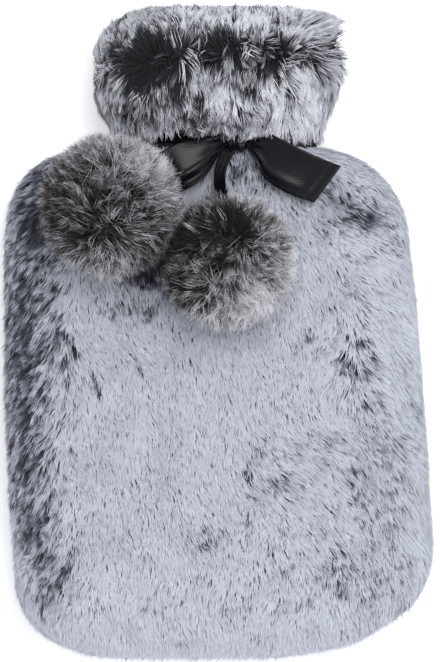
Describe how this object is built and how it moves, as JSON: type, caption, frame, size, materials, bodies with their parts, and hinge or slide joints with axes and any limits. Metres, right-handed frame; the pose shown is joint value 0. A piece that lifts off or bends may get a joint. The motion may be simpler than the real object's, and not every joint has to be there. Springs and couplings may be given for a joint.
{
  "type": "hot water bottle cover",
  "caption": "Long-pile fur cover for a hot water bottle, hollow, with an open collar, a drawn-in neck and a ribbon bow whose tails end in pompoms.",
  "frame": {"origin": "under the middle of the cover, on the surface that its back lies on", "axes": "+X to the right as seen from the front, +Y from the bottom fold to the collar's mouth, +Z out of the front"},
  "size_m": [0.2381, 0.359, 0.1488],
  "materials": {
    "body_fur": "frosted grey faux fur with a long pile, pale at the tips and dark at the roots",
    "collar_fur": "the same faux fur, parted so that more of its dark roots show",
    "pompom_fur": "charcoal faux fur with pale tips, trimmed round",
    "black_satin": "black satin ribbon with a soft sheen"
  },
  "bodies": {
    "root": {"front_panel": "body_fur", "back_panel": "body_fur", "collar": "collar_fur", "neck_ribbon": "black_satin", "bow_knot": "black_satin", "bow_loop_left": "black_satin", "bow_loop_right": "black_satin", "tail_left": "black_satin", "tail_lower": "black_satin", "pompom_left": "pompom_fur", "pompom_lower": "pompom_fur"}
  },
  "joints": []
}
